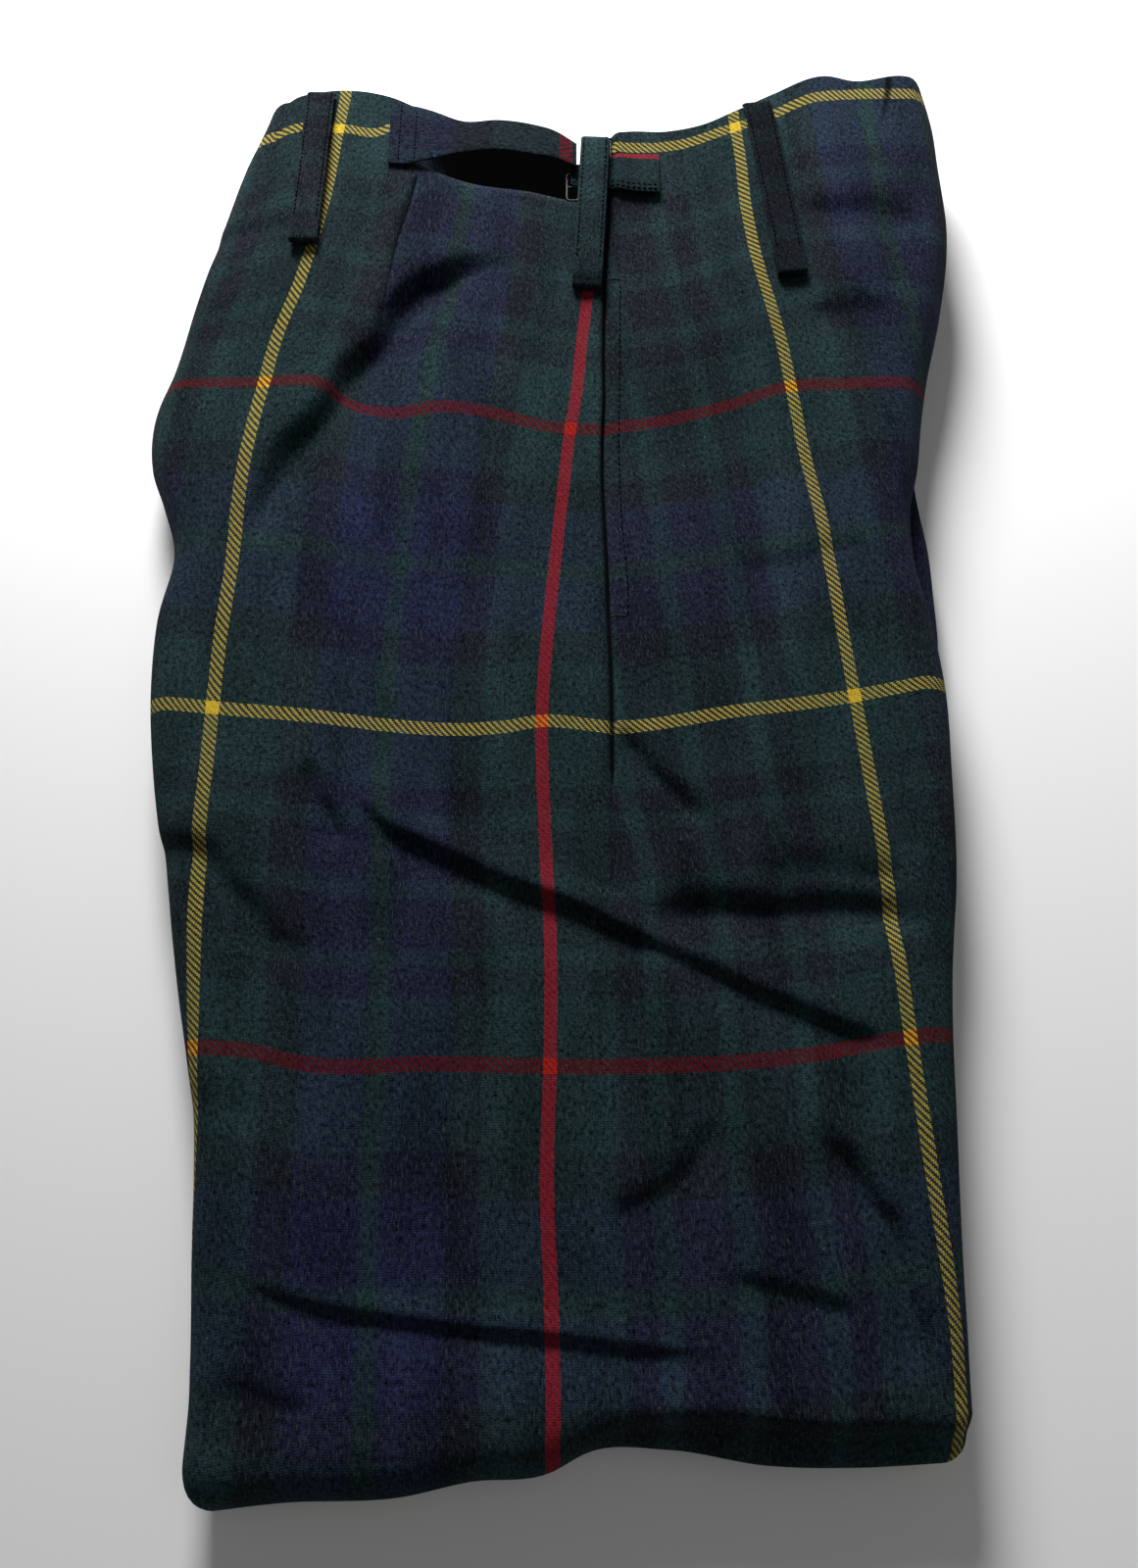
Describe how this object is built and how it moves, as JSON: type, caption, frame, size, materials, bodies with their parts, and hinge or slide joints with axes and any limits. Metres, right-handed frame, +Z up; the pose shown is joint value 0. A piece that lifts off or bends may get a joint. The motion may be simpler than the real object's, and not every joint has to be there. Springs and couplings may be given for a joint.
{
  "type": "tartan trews",
  "caption": "Wool tartan trews laid on one side, legs together, lower legs folded under, with belt loops, a side adjuster strap and buckle, a seam pocket and a back dart",
  "frame": {"origin": "centre of the laid garment's outline, on the surface it rests on", "axes": "+Y runs from the folded end to the waist, +X from the back of the garment to its front, +Z up through the layers"},
  "size_m": [0.4142, 0.6863, 0.06],
  "materials": {
    "tartan_wool": "twilled wool tartan, dark green, navy and black with red and yellow lines, lightly napped",
    "black_facing": "matte black lining cloth",
    "loop_wool": "dark wool twill",
    "strap_wool": "wool tartan, doubled",
    "buckle_metal": "bright nickel"
  },
  "bodies": {
    "root": {"back_leg_panel": "tartan_wool", "front_leg_panel": "tartan_wool", "hidden_layers": "tartan_wool", "waist_facing": "black_facing", "belt_loop_back": "loop_wool", "belt_loop_side": "loop_wool", "belt_loop_front": "loop_wool", "adjuster_strap": "strap_wool", "adjuster_tab": "strap_wool", "adjuster_buckle": "buckle_metal"}
  },
  "joints": []
}
